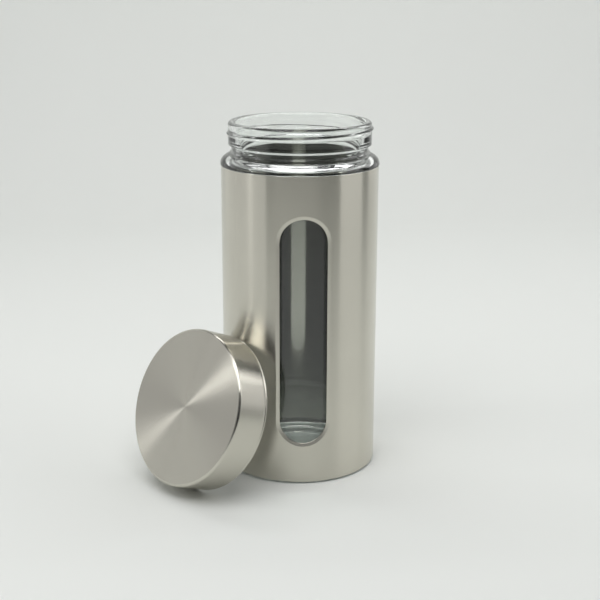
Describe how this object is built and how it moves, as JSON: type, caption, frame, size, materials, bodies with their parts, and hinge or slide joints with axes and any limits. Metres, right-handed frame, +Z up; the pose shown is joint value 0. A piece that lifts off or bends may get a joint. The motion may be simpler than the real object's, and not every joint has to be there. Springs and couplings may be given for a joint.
{
  "type": "lidded glass canister",
  "caption": "Tall round glass jar in a brushed steel sleeve with a long window; its screw lid stands beside it, leaning on the sleeve.",
  "frame": {"origin": "middle of the jar's foot ring, on the surface that the jar stands on", "axes": "+Z up along the jar's axis; the sleeve's window faces -Y; the lid stands on the -X, -Y side"},
  "size_m": [0.1579, 0.1416, 0.225],
  "materials": {
    "jar_glass": "clear",
    "sleeve_steel": "brushed round the sleeve",
    "lid_steel": "brushed in rings on the face",
    "liner_plastic": "satin",
    "seal_rubber": "matte silicone"
  },
  "bodies": {
    "canister": {"glass_jar": "jar_glass", "steel_sleeve": "sleeve_steel"},
    "seal": {"lid_gasket": "seal_rubber"},
    "lid": {"lid_shell": "lid_steel", "lid_liner": "liner_plastic"}
  },
  "joints": [
    {"name": "lid_lift", "type": "slide", "parent": "canister", "child": "seal", "axis": [-0.72, -0.5872, 0.3697], "range_m": [0, 0.12]},
    {"name": "lid_turn", "type": "hinge", "parent": "seal", "child": "lid", "pos_m": [-0.05703, -0.03812, 0.04572], "axis": [-0.72, -0.5872, 0.3697], "continuous": true}
  ]
}
